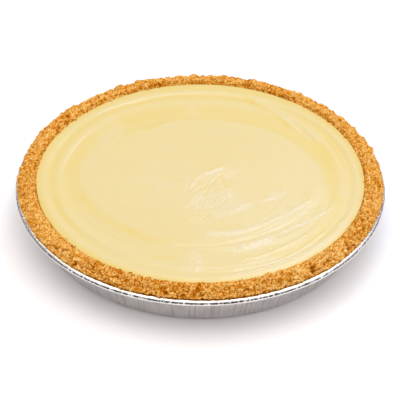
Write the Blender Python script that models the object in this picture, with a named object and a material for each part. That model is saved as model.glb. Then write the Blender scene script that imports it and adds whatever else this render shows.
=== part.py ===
"""A chilled banana cream pie in its foil tin, for Blender 4.5. Metres, +Z up.

The origin is the middle of the tin's base, on the surface that the tin stands on.
Three solids nest in one another with a small gap between them:
  tin      pressed foil: flat base, leaning pleated wall, narrow flange and a rolled bead
  crust    pressed biscuit crumbs: floor, wall and a craggy bank that bulges out over the flange
  filling  set cream: fills the crust, its top swirled by a spatula
Each one is a profile turned about Z, whose points are then moved by a relief function.
"""

import math

import bmesh
import bpy
from mathutils import Vector, noise

MM = 0.001
GAP = 0.3 * MM                 # between nested solids

# Tin
RIM_RADIUS = 114.3 * MM        # half of 9 inches, to the outside of the bead
BEAD_RADIUS = 2.1 * MM
BEAD_HEIGHT = 23.8 * MM        # middle of the bead
FLANGE_HEIGHT = 22.5 * MM      # top of the flange
WALL_TOP_RADIUS = 108.3 * MM   # outside of the wall, under the flange
BASE_RADIUS = 100.1 * MM       # outside of the wall, carried down to the base
BASE_CORNER = 2.2 * MM         # how far the rounded foot of the wall reaches up and in
FOIL = 0.4 * MM
BEAD_SIDES = 6
BEAD_START, BEAD_END = -135, 135   # the bearings round its middle that it is rolled between
PLEATS = 110
PLEAT_DEPTH = 0.5 * MM         # the deepest, crest to fold, at the top of the wall
PLEAT_MEAN, PLEAT_SPREAD, PLEAT_LEAST = 0.6, 0.8, 0.15  # shares of that depth
PLEAT_LOOP = 25.0              # how far through the noise one turn of the wall goes
TIN_STEPS = 2 * PLEATS

# Crust
CRUST_FLOOR = 5.0 * MM         # thickness of the crumb floor
FILL_RADIUS = 101.6 * MM       # inner edge of the crust, at the cream's surface
FILL_HEIGHT = 29.1 * MM        # the cream's surface at that edge
CREST_RADIUS = 106.3 * MM
CREST_HEIGHT = 31.0 * MM
SHOULDER_RADIUS = 112.9 * MM   # where the bank bulges out furthest
SHOULDER_HEIGHT = 27.2 * MM
UNDERCUT = 2.9 * MM            # under the shoulder the bank's foot lies over the bead, this far in from the rim
BROW_RADIUS = 112.4 * MM       # the bank's outer face bends towards this point, over the shoulder
BROW_HEIGHT = 29.1 * MM
KNEE_DEPTH = 10.0 * MM         # below the cream's edge the inner wall steepens here,
KNEE_INSET = 1.6 * MM          # having come in this much,
FLOOR_INSET = 9.0 * MM         # and it meets the floor this far in
LUMP_SIZE, LUMP_DEPTH = 12.0 * MM, 1.1 * MM
CRUMB_SIZE, CRUMB_DEPTH = 3.7 * MM, 1.7 * MM
BACK_RISE = 0.5 * MM           # the bank stands this much prouder at the back than at the front
CRUST_STEPS = 172

# Filling. The swirl's rings are at shares of the cream's radius, and bearings are in degrees from +X.
LIP_SHARE, LIP_WIDTH, LIP_RISE = 0.957, 0.022, 0.30 * MM
GROOVE_SHARE, GROOVE_WIDTH, GROOVE_DEPTH = 0.900, 0.026, 0.42 * MM
WAVE_SHARE, WAVE_WIDTH, WAVE_RISE = 0.845, 0.024, 0.26 * MM
TROUGH_OFFSET, TROUGH_WIDTH, TROUGH_DEPTH = 0.080, 0.060, 0.60 * MM  # just outside the plateau
FRONT_SHARE = 0.35                         # how much of the rings' depth is left on the front half
PLATEAU_SHARE, PLATEAU_RISE = 0.660, 0.30 * MM
PLATEAU_SLOPE = 0.03                       # half the width of the slope at its edge
PLATEAU_BULGES = (                         # where its edge strays: bearing, spread, share
    (355, 34, 0.095),
    (183, 40, 0.070),
    (88, 38, -0.070),
    (124, 14, -0.040),
    (225, 30, 0.040),
)
COILS = (                                  # strokes that wind outwards, anticlockwise: bearings, then shares
    (278, 350, 0.55, 0.70),
    (283, 342, 0.70, 0.83),
)
COIL_WIDTH, COIL_RISE = 0.026, 0.34 * MM
PEAK_LINE = (Vector((0, 0, 0)) * MM, Vector((17, 9, 0)) * MM)      # where the spatula came away
PEAK_WIDTH, PEAK_RISE = 9.0 * MM, 0.55 * MM
DIP_LINE = (Vector((0, -14, 0)) * MM, Vector((7, -36, 0)) * MM)    # the shallow pull in front of it
DIP_WIDTH, DIP_DEPTH = 9.0 * MM, 0.40 * MM
RING_SHARES = (LIP_SHARE, GROOVE_SHARE, WAVE_SHARE, 0.79, 0.735, 0.68, 0.62, 0.55, 0.36, 0.18)
FILLING_STEPS = 102


def smooth(low, high, value):
    """0 below low, 1 above high, and an even S between them. With low above high it falls."""
    share = min(1.0, max(0.0, (value - low) / (high - low)))
    return share * share * (3 - 2 * share)


def hump(value, middle, width):
    """A bell of height 1 about middle."""
    return math.exp(-(((value - middle) / width) ** 2))


def turn_apart(angle, other):
    """The angle between two bearings, in degrees, from 0 to 180."""
    return abs((angle - other + 180) % 360 - 180)


def sector(angle, start, end, soft=18):
    """1 on bearings from start round to end, in degrees, fading to 0 over the angle soft."""
    middle = (start + end) / 2
    reach = (end - start) / 2
    return smooth(reach + soft, reach, turn_apart(angle, middle))


def arc(centre, radius, start, end, steps):
    """Points on an arc in the profile's plane, from one bearing to another, in degrees."""
    points = []
    for i in range(steps + 1):
        bearing = math.radians(start + (end - start) * i / steps)
        points.append(
            (
                centre[0] + radius * math.cos(bearing),
                centre[1] + radius * math.sin(bearing),
            )
        )
    return points


def bend(start, control, end, steps):
    """Points after start on a quadratic curve that leaves and arrives along its control point."""
    points = []
    for i in range(1, steps + 1):
        t = i / steps
        a, b, c = (1 - t) ** 2, 2 * t * (1 - t), t * t
        points.append(
            tuple(a * start[k] + b * control[k] + c * end[k] for k in (0, 1))
        )
    return points


def turned(name, profile, steps, relief, material, crease):
    """A profile of (radius, height) points spun about Z into a closed mesh, its points then moved by relief.

    Faces that meet at more than the angle crease are shaded with a sharp edge between them.
    """
    mesh = bmesh.new()
    corners = [mesh.verts.new((radius, 0, height)) for radius, height in profile]
    edges = [mesh.edges.new(pair) for pair in zip(corners, corners[1:])]
    bmesh.ops.spin(
        mesh,
        geom=corners + edges,
        cent=(0, 0, 0),
        axis=(0, 0, 1),
        angle=math.tau,
        steps=steps,
        use_merge=True,
    )
    bmesh.ops.remove_doubles(mesh, verts=mesh.verts, dist=0.001 * MM)
    for corner in mesh.verts:
        radius = math.hypot(corner.co.x, corner.co.y)
        angle = math.degrees(math.atan2(corner.co.y, corner.co.x)) % 360
        corner.co = relief(radius, angle, corner.co.z)
    bmesh.ops.recalc_face_normals(mesh, faces=mesh.faces)
    data = bpy.data.meshes.new(name)
    mesh.to_mesh(data)
    mesh.free()
    data.materials.append(material)
    data.shade_smooth()
    data.set_sharp_from_angle(angle=math.radians(crease))
    piece = bpy.data.objects.new(name, data)
    bpy.context.scene.collection.objects.link(piece)
    return piece


def point(radius, angle, height):
    """The point at a radius, a bearing in degrees and a height."""
    bearing = math.radians(angle)
    return Vector((radius * math.cos(bearing), radius * math.sin(bearing), height))


def finish(name, colour, roughness, metallic=0.0):
    """A Principled material of one colour."""
    material = bpy.data.materials.new(name)
    material.use_nodes = True
    shader = material.node_tree.nodes["Principled BSDF"]
    shader.inputs["Base Color"].default_value = (*colour, 1)
    shader.inputs["Roughness"].default_value = roughness
    shader.inputs["Metallic"].default_value = metallic
    material.diffuse_color = (*colour, 1)
    return material


# ---------------------------------------------------------------- tin


def wall_radius(height):
    """The outside of the tin's leaning wall."""
    return BASE_RADIUS + (WALL_TOP_RADIUS - BASE_RADIUS) * height / FLANGE_HEIGHT


def foil_across():
    """The foil's thickness measured level through the leaning wall."""
    lean = math.atan2(WALL_TOP_RADIUS - BASE_RADIUS, FLANGE_HEIGHT)
    return FOIL / math.cos(lean)


def tin_profile():
    """The foil's section: out along the underside, round the bead, and back along the inside."""
    foot = (BASE_RADIUS - BASE_CORNER, 0)
    foot_top = (wall_radius(BASE_CORNER), BASE_CORNER)
    under_flange = (WALL_TOP_RADIUS, FLANGE_HEIGHT - FOIL)
    bead = (RIM_RADIUS - BEAD_RADIUS, BEAD_HEIGHT)
    round_bead = arc(bead, BEAD_RADIUS, BEAD_START, BEAD_END, BEAD_SIDES)
    flange_end = (RIM_RADIUS - 2 * BEAD_RADIUS - GAP, FLANGE_HEIGHT)
    wall_top = (WALL_TOP_RADIUS - foil_across(), FLANGE_HEIGHT)
    inner_foot_top = (foot_top[0] - foil_across(), foot_top[1] + FOIL / 2)
    inner_foot = (foot[0] - FOIL / 2, FOIL)
    return (
        [(0, 0), foot]
        + bend(foot, (BASE_RADIUS, 0), foot_top, 2)
        + [under_flange]
        + round_bead
        + [flange_end, wall_top, inner_foot_top, inner_foot, (0, FOIL)]
    )


def pleat(angle):
    """How far the wall stands out on a bearing, from -1 to 1: a crest and a fold to a pleat, unevenly deep."""
    step = round(angle / 360 * TIN_STEPS) % TIN_STEPS
    side = 1 if step % 2 else -1
    depth = PLEAT_MEAN + PLEAT_SPREAD * noise.noise(point(PLEAT_LOOP, angle, 0))
    return side * min(1.0, max(PLEAT_LEAST, depth))


def tin_relief(radius, angle, height):
    """Pleats the wall, more towards its top, and leaves the base and the bead round."""
    if BASE_RADIUS < radius < WALL_TOP_RADIUS + FOIL:
        fade = smooth(BASE_CORNER, FLANGE_HEIGHT, height)
        radius += PLEAT_DEPTH / 2 * fade * pleat(angle)
    return point(radius, angle, height)


# ---------------------------------------------------------------- crust


def crust_profile():
    """The crumb shell's section: out along its underside, over the bank, and back along the inside."""
    under = FOIL + GAP
    clear = foil_across() + GAP + PLEAT_DEPTH / 2
    foot = (BASE_RADIUS - 2 * BASE_CORNER, under)
    foot_top = (wall_radius(2 * BASE_CORNER) - clear, 2 * BASE_CORNER)
    wall_top = (WALL_TOP_RADIUS - clear - GAP, FLANGE_HEIGHT)
    on_flange = (WALL_TOP_RADIUS - GAP, FLANGE_HEIGHT + 2 * GAP)
    over_bead = (RIM_RADIUS - UNDERCUT, BEAD_HEIGHT + BEAD_RADIUS + 2 * GAP)
    shoulder = (SHOULDER_RADIUS, SHOULDER_HEIGHT)
    crest = (CREST_RADIUS, CREST_HEIGHT)
    rim = (FILL_RADIUS, FILL_HEIGHT)
    knee = (FILL_RADIUS - KNEE_INSET, FILL_HEIGHT - KNEE_DEPTH)
    inner_foot = (FILL_RADIUS - FLOOR_INSET, under + CRUST_FLOOR)
    return (
        [(0, under), foot, foot_top, wall_top, on_flange, over_bead, shoulder]
        + bend(shoulder, (BROW_RADIUS, BROW_HEIGHT), crest, 4)
        + bend(crest, (FILL_RADIUS + KNEE_INSET, CREST_HEIGHT), rim, 2)
        + [knee, inner_foot, (0, under + CRUST_FLOOR)]
    )


def crags(radius, angle, height):
    """Broad lumps of packed crumb with single crumbs on them, from about -1 to 1 times their depths."""
    place = point(radius, angle, height)
    lumps = noise.noise(place / LUMP_SIZE) * LUMP_DEPTH
    crumbs = noise.noise(place / CRUMB_SIZE + Vector((7, 3, 5))) * CRUMB_DEPTH
    return lumps + crumbs


def crust_relief(radius, angle, height):
    """Roughens the bank, outwards from its heart. The faces that meet the tin and the cream stay smooth."""
    bared = smooth(BEAD_HEIGHT + BEAD_RADIUS, BROW_HEIGHT, height)
    off_cream = smooth(FILL_RADIUS, FILL_RADIUS + KNEE_INSET, radius)
    share = bared * off_cream
    if share == 0:
        return point(radius, angle, height)
    depth = share * crags(radius, angle, height)
    lean = math.atan2(height - BEAD_HEIGHT, radius - CREST_RADIUS)
    rise = BACK_RISE * share * math.sin(math.radians(angle))
    return point(
        min(radius + depth * math.cos(lean), RIM_RADIUS - GAP),
        angle,
        height + depth * math.sin(lean) + rise,
    )


# ---------------------------------------------------------------- filling


def plateau_edge(angle):
    """Where the flat middle of the cream ends on a bearing, as a share of the cream's radius."""
    strays = [
        share * hump(turn_apart(angle, bearing), 0, spread)
        for bearing, spread, share in PLATEAU_BULGES
    ]
    return PLATEAU_SHARE + sum(strays)


def ridge(place, start, end, width):
    """1 on the line between two points seen from above, falling to 0 over the width on both sides of it."""
    reach = end - start
    along = min(1.0, max(0.0, (place - start).dot(reach) / reach.length_squared))
    return hump((place - start - along * reach).length, 0, width)


def rings(share, angle):
    """The rings of the swirl, deepest round the back half."""
    depth = FRONT_SHARE + (1 - FRONT_SHARE) * sector(angle, 0, 180, soft=60)
    edge = plateau_edge(angle)
    lip = LIP_RISE * hump(share, LIP_SHARE, LIP_WIDTH)
    groove = GROOVE_DEPTH * depth * hump(share, GROOVE_SHARE, GROOVE_WIDTH)
    wave = WAVE_RISE * hump(share, WAVE_SHARE, WAVE_WIDTH)
    trough = TROUGH_DEPTH * depth * hump(share, edge + TROUGH_OFFSET, TROUGH_WIDTH)
    plateau = PLATEAU_RISE * smooth(edge + PLATEAU_SLOPE, edge - PLATEAU_SLOPE, share)
    return lip - groove + wave - trough + plateau


def coil(share, angle, start, end, inner, outer):
    """A raised stroke from a bearing and share round to others."""
    turned_on = (angle - start + 180) % 360 - 180
    middle = inner + (outer - inner) * turned_on / (end - start)
    return COIL_RISE * hump(share, middle, COIL_WIDTH) * sector(angle, start, end)


def cream_height(share, angle):
    """The top of the cream over its level at the crust, at a share of its radius and a bearing."""
    place = point(share * FILL_RADIUS, angle, 0)
    peak = PEAK_RISE * ridge(place, *PEAK_LINE, PEAK_WIDTH)
    dip = DIP_DEPTH * ridge(place, *DIP_LINE, DIP_WIDTH)
    coils = sum(coil(share, angle, *stroke) for stroke in COILS)
    level_at_crust = smooth(1.0, LIP_SHARE + LIP_WIDTH, share)
    return level_at_crust * (rings(share, angle) + coils + peak - dip)


def filling_profile():
    """The cream's section: out along its underside, up the crust and back over the top."""
    under = FOIL + GAP + CRUST_FLOOR + GAP
    edge_radius = FILL_RADIUS - GAP
    return (
        [(0, under), (edge_radius - FLOOR_INSET, under)]
        + [(edge_radius - KNEE_INSET, FILL_HEIGHT - KNEE_DEPTH), (edge_radius, FILL_HEIGHT)]
        + [(edge_radius * share, FILL_HEIGHT) for share in RING_SHARES]
        + [(0, FILL_HEIGHT)]
    )


def filling_relief(radius, angle, height):
    """Swirls the top of the cream."""
    if height > FILL_HEIGHT - GAP:
        height += cream_height(radius / (FILL_RADIUS - GAP), angle)
    return point(radius, angle, height)


def main():
    for old in list(bpy.data.objects):
        bpy.data.objects.remove(old)
    foil = finish("foil", (0.80, 0.79, 0.78), 0.32, metallic=1.0)
    crumb = finish("crumb", (0.72, 0.33, 0.075), 0.85)
    cream = finish("cream", (0.90, 0.73, 0.37), 0.4)
    turned("tin", tin_profile(), TIN_STEPS, tin_relief, foil, crease=8)
    turned("crust", crust_profile(), CRUST_STEPS, crust_relief, crumb, crease=25)
    turned("filling", filling_profile(), FILLING_STEPS, filling_relief, cream, crease=30)


main()
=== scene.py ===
import itertools
import math

import bpy
import numpy as np
from mathutils import Matrix, Quaternion, Vector, noise


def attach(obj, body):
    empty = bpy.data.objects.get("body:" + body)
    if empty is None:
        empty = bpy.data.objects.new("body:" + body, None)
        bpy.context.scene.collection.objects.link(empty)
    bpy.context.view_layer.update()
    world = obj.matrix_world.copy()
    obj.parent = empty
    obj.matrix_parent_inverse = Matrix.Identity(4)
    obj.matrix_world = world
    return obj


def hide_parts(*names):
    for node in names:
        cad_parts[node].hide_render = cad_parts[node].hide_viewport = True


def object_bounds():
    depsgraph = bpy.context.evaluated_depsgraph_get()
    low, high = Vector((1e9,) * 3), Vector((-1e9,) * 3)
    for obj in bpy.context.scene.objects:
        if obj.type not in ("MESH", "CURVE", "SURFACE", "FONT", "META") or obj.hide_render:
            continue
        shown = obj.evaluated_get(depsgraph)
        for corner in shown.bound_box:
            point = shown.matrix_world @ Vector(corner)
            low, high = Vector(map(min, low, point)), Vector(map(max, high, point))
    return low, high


MM = 0.001

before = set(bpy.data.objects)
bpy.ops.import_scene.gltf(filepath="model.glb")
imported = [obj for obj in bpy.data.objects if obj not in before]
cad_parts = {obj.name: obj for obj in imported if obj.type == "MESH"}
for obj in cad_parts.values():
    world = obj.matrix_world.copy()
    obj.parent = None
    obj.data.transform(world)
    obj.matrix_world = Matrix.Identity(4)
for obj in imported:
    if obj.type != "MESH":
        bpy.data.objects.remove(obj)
cad_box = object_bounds()

# --- the main sizes, after the solids

GAP = 0.3 * MM  # between nested pieces

# Tin
RIM_RADIUS = 114.3 * MM  # half of 9 inches, to the outside of the bead
BEAD_RADIUS = 2.1 * MM
BEAD_HEIGHT = 23.8 * MM  # middle of the bead
BEAD_START, BEAD_END = -135, 135  # the bearings round its middle that it is rolled between
FLANGE_HEIGHT = 22.5 * MM  # top of the flange
WALL_TOP_RADIUS = 108.3 * MM  # outside of the wall, under the flange
BASE_RADIUS = 100.1 * MM  # outside of the wall, carried down to the base
BASE_CORNER = 2.2 * MM  # how far the rounded foot of the wall reaches up and in
FOIL = 0.4 * MM
PLEATS = 110
PLEAT_DEPTH = 0.5 * MM  # the deepest, crest to fold, at the top of the wall
PLEAT_MEAN, PLEAT_SPREAD, PLEAT_LEAST = 0.6, 0.8, 0.15  # shares of that depth
PLEAT_LOOP = 25.0  # how far through the noise one turn of the wall goes
TIN_STEPS = 2 * PLEATS

# Crust
CRUST_FLOOR = 5.0 * MM  # thickness of the crumb floor
FILL_RADIUS = 101.6 * MM  # inner edge of the crust, at the cream's surface
FILL_HEIGHT = 29.1 * MM  # the cream's surface at that edge
CREST_RADIUS = 106.3 * MM
CREST_HEIGHT = 31.0 * MM
SHOULDER_RADIUS = 112.9 * MM  # where the bank bulges out furthest
SHOULDER_HEIGHT = 27.2 * MM
UNDERCUT = 2.4 * MM  # the bank's foot lies over the bead, this far in from the rim
BROW_RADIUS = 112.4 * MM  # the bank's outer face bends towards this point, over the shoulder
BROW_HEIGHT = 29.1 * MM
KNEE_DEPTH = 10.0 * MM  # below the cream's edge the inner wall steepens here,
KNEE_INSET = 1.6 * MM  # having come in this much,
FLOOR_INSET = 9.0 * MM  # and it meets the floor this far in
LUMP_SIZE, LUMP_DEPTH = 12.0 * MM, 1.1 * MM
CRAG_SIZE, CRAG_DEPTH = 3.7 * MM, 1.7 * MM
CRAG_SHIFT = Vector((7, 3, 5))
BACK_RISE = 0.5 * MM  # the bank is this much higher at the back than at the sides

# Cream. The swirl's rings are at shares of the cream's radius, and bearings are in degrees from +X.
LIP_SHARE, LIP_WIDTH, LIP_RISE = 0.957, 0.022, 0.30 * MM
GROOVE_SHARE, GROOVE_WIDTH, GROOVE_DEPTH = 0.917, 0.026, 0.42 * MM
WAVE_SHARE, WAVE_WIDTH, WAVE_RISE = 0.863, 0.024, 0.26 * MM
BACK_BEARING = 88  # round this bearing the three run closer in, by these shares
LIP_INSET, GROOVE_INSET, WAVE_INSET = 0.044, 0.048, 0.076
LOW_LIP = (142, 34)  # where the lip is low: bearing and spread
WORN = (312, 50)  # where the strokes wore the rings down: bearing and spread
TROUGH_OFFSET, TROUGH_WIDTH, TROUGH_DEPTH = 0.080, 0.060, 0.60 * MM  # just outside the plateau
FRONT_SHARE = 0.35  # how much of the rings' depth is left on the front half
PLATEAU_SHARE, PLATEAU_RISE = 0.660, 0.30 * MM
PLATEAU_SLOPE = 0.03  # half the width of the slope at its edge
PLATEAU_BULGES = (  # where its edge strays: bearing, spread, share
    (355, 34, 0.095),
    (183, 40, 0.070),
    (88, 38, -0.070),
    (124, 14, -0.040),
    (225, 30, 0.040),
)
COILS = (  # strokes that wind outwards, anticlockwise: bearings, then shares
    (278, 350, 0.55, 0.70),
    (283, 342, 0.70, 0.83),
)
COIL_WIDTH, COIL_RISE = 0.026, 0.34 * MM
COILS_FADE = (330, 34)  # where they are low: bearing and spread
PEAK_LINE = ((0, 0), (17, 9))  # where the spatula came away, in mm
PEAK_WIDTH, PEAK_RISE = 9.0, 0.55 * MM
DIP_LINE = ((0, -14), (7, -36))  # the shallow pull in front of it, in mm
DIP_WIDTH, DIP_DEPTH = 9.0, 0.40 * MM

# --- the foil's fine relief

CREASE_DEPTH = 0.3 * MM
CRIMP_LENGTH = 1.3 * MM  # from one crimp of the bead to the next
CRIMP_DEPTH = 0.14 * MM
DENT_SIZE, DENT_DEPTH = 0.9 * MM, 0.12 * MM
CRIMPED = (35, 60)  # where round the bead's section the crimps are deepest, in degrees, and their spread
# The seam where the bead's foil was turned in: its place and width in degrees round the bead's section.
SEAM, SEAM_WIDTH, SEAM_DEPTH = 16, 12, 0.24 * MM
SEAM_LIFT = 8  # how much higher it runs at the far left and right
SEAM_DASH = 0.6 * MM  # it comes and goes in about this length
EDGE_LIFT, EDGE_WIDTH, EDGE_RISE = 13, 11, 0.12 * MM  # the raised edge over the seam
# Painted shade: how much the foil's colour is darkened over the wall's outside, in its creases, under the
# bead's seam and on the seam.
WALL_SHADE, CREASE_SHADE, UNDER_SEAM_SHADE, SEAM_SHADE = 0.3, 0.3, 0.08, 1.8

# --- the crust's crumbs and marks

CLUMP_SIZE, CLUMP_DEPTH, CLUMP_GAP_DEPTH = 2.9 * MM, 0.32 * MM, 0.62 * MM
CRUMB_SIZE, CRUMB_DEPTH, CRUMB_GAP_DEPTH = 1.1 * MM, 0.26 * MM, 0.38 * MM
PIT_SIZE, PIT_DEPTH = 3.9 * MM, 1.1 * MM
HIDDEN_TONE = 0.5  # of the crust where the cream and the tin cover it
CRUMBLY_BEARING = 284  # the middle of the crumbliest stretch
SPILL_BEARING = 135  # where the crust leans in over the cream
SPILL_REACH, SPILL_RISE = 1.3 * MM, 0.3 * MM

# Each is: bearing in degrees, radius, height, reach and depth in mm. A negative depth is a bump.
MARKS = (
    (259.1, 108.6, 29.4, 1.4, 1.9),
    (291.0, 107.9, 30.0, 1.0, 1.0),
    (313.6, 109.2, 30.0, 1.0, 1.2),
    (316.4, 107.4, 30.6, 0.9, 1.0),
    # the crack across it
    (306.9, 105.6, 31.0, 1.2, 1.7),
    (306.8, 107.6, 31.0, 1.3, 2.1),
    (306.6, 109.5, 30.4, 1.4, 2.4),
    (306.4, 111.3, 29.4, 1.3, 2.2),
    (306.2, 112.7, 28.0, 1.2, 1.6),
    # the back
    (74.7, 110.9, 30.2, 2.4, 1.6),
    (128.6, 108.0, 31.2, 2.6, -0.9),
    (15.8, 112.4, 29.0, 2.6, -0.9),
)

# Each is: bearing, spread in degrees, and how much paler.
PALER_STRETCHES = (
    (312, 17, 0.16),
    (228, 24, 0.06),
    (268, 26, 0.01),
    (90, 65, -0.02),
)

# --- the cream's own strokes
# Seen from above, in mm from the middle, the front at -Y.

# These come back as streaks: the spatula's tail, a furrow at the front right, a nick at the front left, the
# flap's edge at the back right and a tear in the flat middle.
TAIL = ((8, 1), (12.7, -3.5), (15, -8), (17, -12.5))
FURROW = ((38, -77), (52, -71), (64, -61), (75, -47), (83, -30), (86, -18))
NICK = ((-30, -77.5), (-22, -79), (-13, -79.3))
FLAP = ((24, 88), (34, 80.5), (44, 70.5), (52, 60.5), (57, 52))
TEAR = ((-28, 31), (-25.5, 35), (-22.5, 38.5))

# Each is: rise in mm (negative for a groove), width in mm, how beaded from 0 to 1, and the line.
STROKES = (
    # where the spatula came away
    (0.24, 1.5, 0.3, ((-1, 0.5), (5, 2.6), (10, 6), (17, 10))),
    (-0.12, 0.9, 0.4, TAIL),
    (0.17, 0.9, 0.9, ((17, -13.5), (17.3, -18.5), (18, -21.5))),
    (-0.17, 0.8, 0.2, ((23.5, -25), (26.5, -27))),
    # the scraped patch in front of it
    (0.20, 1.9, 0.7, ((13, -37.5), (20, -34), (26, -29), (32, -27))),
    (0.14, 1.6, 0.9, ((32, -27), (41, -23), (47, -19), (52, -15))),
    (0.11, 1.1, 0.6, ((-12, -34), (-8, -31), (-5, -25), (0, -17))),
    (-0.12, 0.9, 0.4, ((-9, -36), (-7, -32), (-6, -30))),
    (0.09, 1.2, 0.8, ((-6, -44), (0, -40), (7, -41), (12, -38))),
    # the long strokes round the front right
    (0.18, 1.5, 1.0, ((13, -56.8), (25, -54), (36, -48), (47, -40.5), (55, -34), (64, -26.5), (70, -17))),
    (0.34, 2.5, 0.8, ((20, -71), (28, -67), (37, -61.5), (45, -57))),
    (0.13, 1.2, 0.9, ((45, -57), (53.5, -51), (62.6, -45), (70.7, -38), (79, -31), (82, -24))),
    (0.16, 0.8, 1.0, ((19, -81.8), (35, -77.1), (47, -70), (57, -62), (66, -53.5))),
    (0.18, 0.8, 1.0, ((2, -90.8), (16, -90), (32, -86), (43.6, -81.5), (52.5, -76), (65, -64.5), (74, -53))),
    (0.17, 0.8, 1.0, ((4, -94.5), (20, -93.4), (35, -88.5), (49.5, -81), (60, -74), (72, -62.5), (87, -40))),
    (-0.11, 0.8, 0.3, ((6, -92.3), (18, -91.6), (33, -87.4), (46, -81.6))),
    (-0.10, 2.2, 0.2, FURROW),
    (-0.05, 1.2, 0.3, ((24, -60), (36, -55), (48, -47), (60, -38), (70, -27))),
    # the short stroke where they begin
    (0.12, 1.6, 0.8, ((-2.5, -77), (-2, -84), (-3, -91), (-4, -94))),
    # front left
    (-0.17, 0.9, 0.3, NICK),
    (-0.09, 0.8, 0.4, ((-62, -62), (-50, -70.5), (-36, -77))),
    (-0.08, 1.0, 0.3, ((-52, -56), (-40, -66), (-24, -72), (-8, -73.5))),
    (-0.20, 2.4, 0.2, ((-73, -18), (-66, -31), (-57, -42.5), (-48, -51), (-38, -58), (-31, -61))),
    (0.10, 1.2, 0.3, ((-76, -30), (-67, -44), (-55, -55), (-42, -64.5))),
    (-0.11, 1.0, 0.2, ((-92, -12), (-88, -30), (-80, -46), (-70, -58))),
    # back left
    (-0.15, 1.0, 0.3, ((-61, 47), (-66, 33), (-69, 18), (-73, 0))),
    (0.14, 1.6, 0.3, ((-63, 56), (-57, 55), (-50, 50.5), (-47, 47))),
    (-0.12, 1.4, 0.3, ((-47, 47), (-52, 38), (-57, 27), (-59, 20))),
    (-0.10, 0.9, 0.3, ((-70, 62), (-58, 72), (-44, 79), (-30, 83))),
    # back right
    (-0.25, 1.1, 0.2, FLAP),
    (0.15, 1.8, 0.2, ((30, 86), (40, 77.5), (50, 67), (58, 56), (64, 48))),
    (-0.11, 0.9, 0.4, ((50, 66), (58, 58), (66, 47), (73, 36))),
    (0.12, 0.9, 0.6, ((71, 30), (75, 25.5), (78, 20))),
    # small tears in the flat middle
    (-0.14, 1.0, 0.5, TEAR),
    (-0.06, 0.7, 0.9, ((-19, 41), (-10, 45), (0, 46.5), (10, 45.8))),
    (-0.10, 0.8, 0.6, ((0.5, 33), (4.5, 33.5))),
    (-0.08, 0.7, 0.7, ((11, 36), (13, 35.5))),
    (-0.08, 0.7, 0.7, ((18.5, 24.5), (20.5, 24))),
    (-0.07, 0.7, 0.8, ((-7, 6), (-3, 8), (0, 7))),
    (-0.13, 0.9, 0.6, ((-39.5, 9), (-36.5, 11.5))),
    (-0.09, 0.8, 0.7, ((-33.5, -26), (-31.5, -28.5))),
    (0.09, 0.8, 0.8, ((-43.5, -8), (-42.5, -11.5), (-40, -17))),
    (-0.07, 0.7, 0.8, ((53, 35), (55.5, 30), (57, 26))),
    (-0.08, 0.8, 0.5, ((64, -33), (67, -30))),
)

# Pale and yellow streaks, as above: how much paler, how wide in mm, and the line.
STREAKS = (
    (0.70, 5.0, ((-47, 47), (-56, 45), (-61, 38), (-64, 26), (-68, 12), (-70, 0))),
    (0.35, 4.0, ((-66, 60), (-57, 56), (-48, 49))),
    (0.60, 4.0, ((34, 84), (48, 73), (60, 60), (70, 48), (77, 36))),
    (-0.35, 3.0, ((-42, 44), (-49, 35), (-54, 24))),
    (-0.60, 2.2, FLAP),
    (-0.50, 3.2, ((-73, -18), (-66, -31), (-57, -42.5), (-48, -51), (-38, -58), (-28, -62), (-15, -65))),
    (-0.40, 2.6, ((-46, -51), (-41, -55), (-35, -59))),
    (-0.75, 3.8, FURROW),
    (-0.40, 3.0, ((-88, -20), (-82, -40), (-72, -54), (-60, -66))),
    (0.45, 4.0, ((-5.5, 80), (-5.3, 60))),
    (0.40, 3.5, ((-3, -62), (-3, -93))),
    (-0.50, 1.6, TEAR),
    (-0.60, 1.4, ((0, 2), (5, 4), (10, 8), (16, 12.8))),
    (-0.60, 1.4, TAIL),
    (-0.60, 1.5, NICK),
    (-0.50, 5.5, ((80, -26), (82, 0), (80, 22), (72, 44))),
)
# Painted sheen and highlights: paler streaks along the spatula's scraped strokes, as above.
SHEEN_STREAKS = (
    (0.34, 15.0, ((5, -16), (8, -34))),
    (0.72, 3.2, ((7, -40), (15, -37), (24, -33), (33, -28))),
    (0.50, 2.6, ((40, -24), (47, -19), (52, -15))),
    (0.36, 2.4, ((-2, -4), (4, 1), (11, 5), (16, 9))),
    (0.60, 1.4, ((17, -12.5), (17.3, -18), (18, -22))),
    (0.48, 2.5, ((2, -57), (14, -56.8), (25, -54), (36, -48), (47, -40.5), (55, -34), (64, -26.5))),
    (0.74, 3.4, ((18, -72), (30, -67), (46, -58))),
    (0.36, 2.4, ((45, -57), (54, -51), (63, -45), (71, -38), (79, -31))),
    (0.36, 1.4, ((35, -77.1), (47, -70), (57, -62), (66, -53.5))),
    (0.36, 1.4, ((16, -90), (32, -86), (43.6, -81.5), (52.5, -76), (65, -64.5))),
    (0.36, 1.4, ((20, -93.4), (35, -88.5), (49.5, -81), (60, -74), (72, -62.5))),
    (0.30, 4.5, ((-3, -70), (-3, -92))),
    (0.10, 3.0, ((-20, 57), (-5, 60))),
    (0.10, 28.0, ((-40, 5), (-10, -20))),
)
SCRAPED = ((3, -24), 19.0)  # the glossy scraped patch: middle and reach, in mm
SCRAPE_DEPTH = 0.12  # of the fine lines in that patch, in mm
RING_SPACING, RING_DEPTH = 1.9, 0.042  # the spatula's fine rings all round, in mm
WAVINESS, WAVE_LENGTH = 0.05, 9.0  # the cream's slight unevenness, in mm
BARED, PALEST = 0.27, 0.95  # how pale bared cream is, and the palest that isn't whitened
SMOOTHEST = 0.12  # the cream's least grain

# --- how fine the meshes are

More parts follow.
